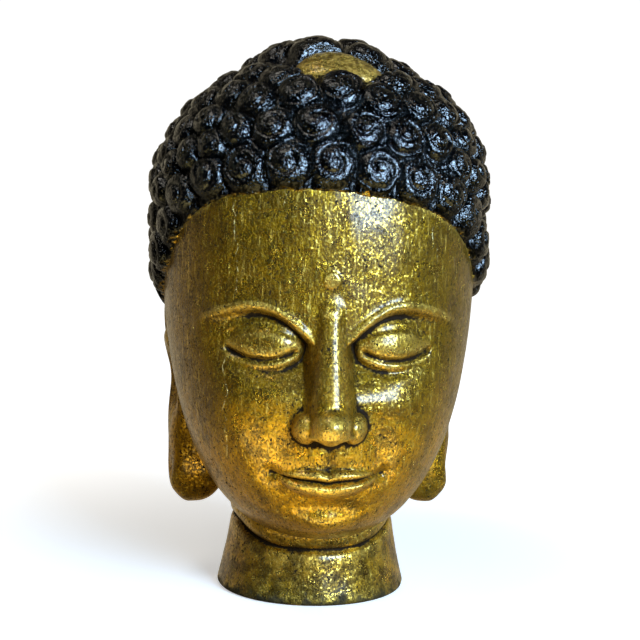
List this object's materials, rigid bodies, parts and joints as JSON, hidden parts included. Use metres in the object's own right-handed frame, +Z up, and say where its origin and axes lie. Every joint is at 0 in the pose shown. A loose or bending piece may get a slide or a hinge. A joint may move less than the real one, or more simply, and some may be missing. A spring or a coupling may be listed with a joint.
{
  "type": "gilt wood buddha head",
  "caption": "Carved wooden Buddha head with snail-curl hair, crown jewel, long ears and its flared neck as the stand, gilt and black painted.",
  "frame": {"origin": "middle of the flat underside of the neck", "axes": "+Z up the head, the face looks towards -Y, +X is on the viewer's right"},
  "size_m": [0.1812, 0.2121, 0.2991],
  "materials": {
    "gilt_wood": "worn gold leaf over dark ground on the face, ears, neck and crown jewel, and black paint on the curls"
  },
  "bodies": {
    "root": {"buddha_head": "gilt_wood"}
  },
  "joints": []
}
